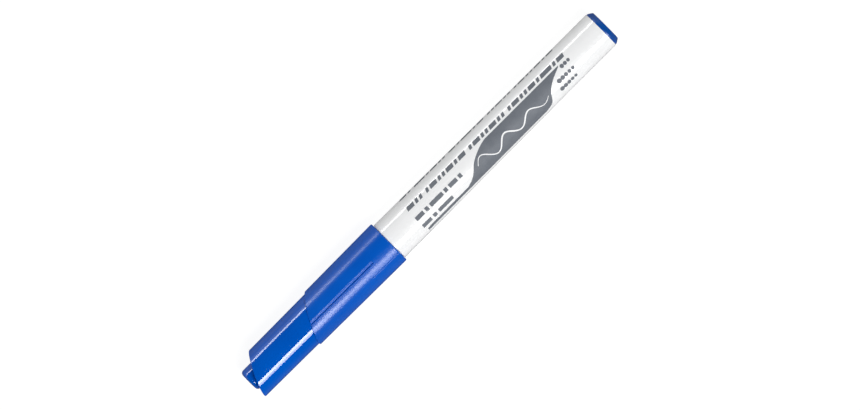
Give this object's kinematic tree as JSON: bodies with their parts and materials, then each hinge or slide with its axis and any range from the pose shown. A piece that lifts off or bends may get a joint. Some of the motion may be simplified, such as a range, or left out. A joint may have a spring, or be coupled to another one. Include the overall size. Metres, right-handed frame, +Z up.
{
  "type": "felt tip marker",
  "caption": "Slim dry-erase felt tip marker with a pull-off cap, a fibre bullet nib, an ink reservoir in a tapered barrel and a pressed tail plug.",
  "frame": {"origin": "centre of the bounding box at its lowest level, on the surface that the capped marker lies on", "axes": "+X along the marker's axis, from the cap end to the tail; +Z up, away from the surface; +Y across"},
  "size_m": [0.137, 0.0136, 0.0137],
  "materials": {
    "barrel_white": "gloss",
    "holder_white": "satin",
    "nib_felt": "matte",
    "reservoir_felt": "matte",
    "clear_film": "gloss",
    "plug_blue": "satin",
    "cap_blue": "gloss",
    "print_grey": "satin"
  },
  "bodies": {
    "pen": {"barrel": "barrel_white", "nib_holder": "holder_white", "nib": "nib_felt", "reservoir_fibre": "reservoir_felt", "reservoir_film": "clear_film", "breather_tube": "clear_film", "tail_plug": "plug_blue"},
    "cap": {"cap_shell": "cap_blue", "inner_cap": "cap_blue"}
  },
  "joints": [
    {"name": "cap_pull", "type": "slide", "parent": "pen", "child": "cap", "axis": [-1, 0, 0], "range_m": [0, 0.06]}
  ]
}
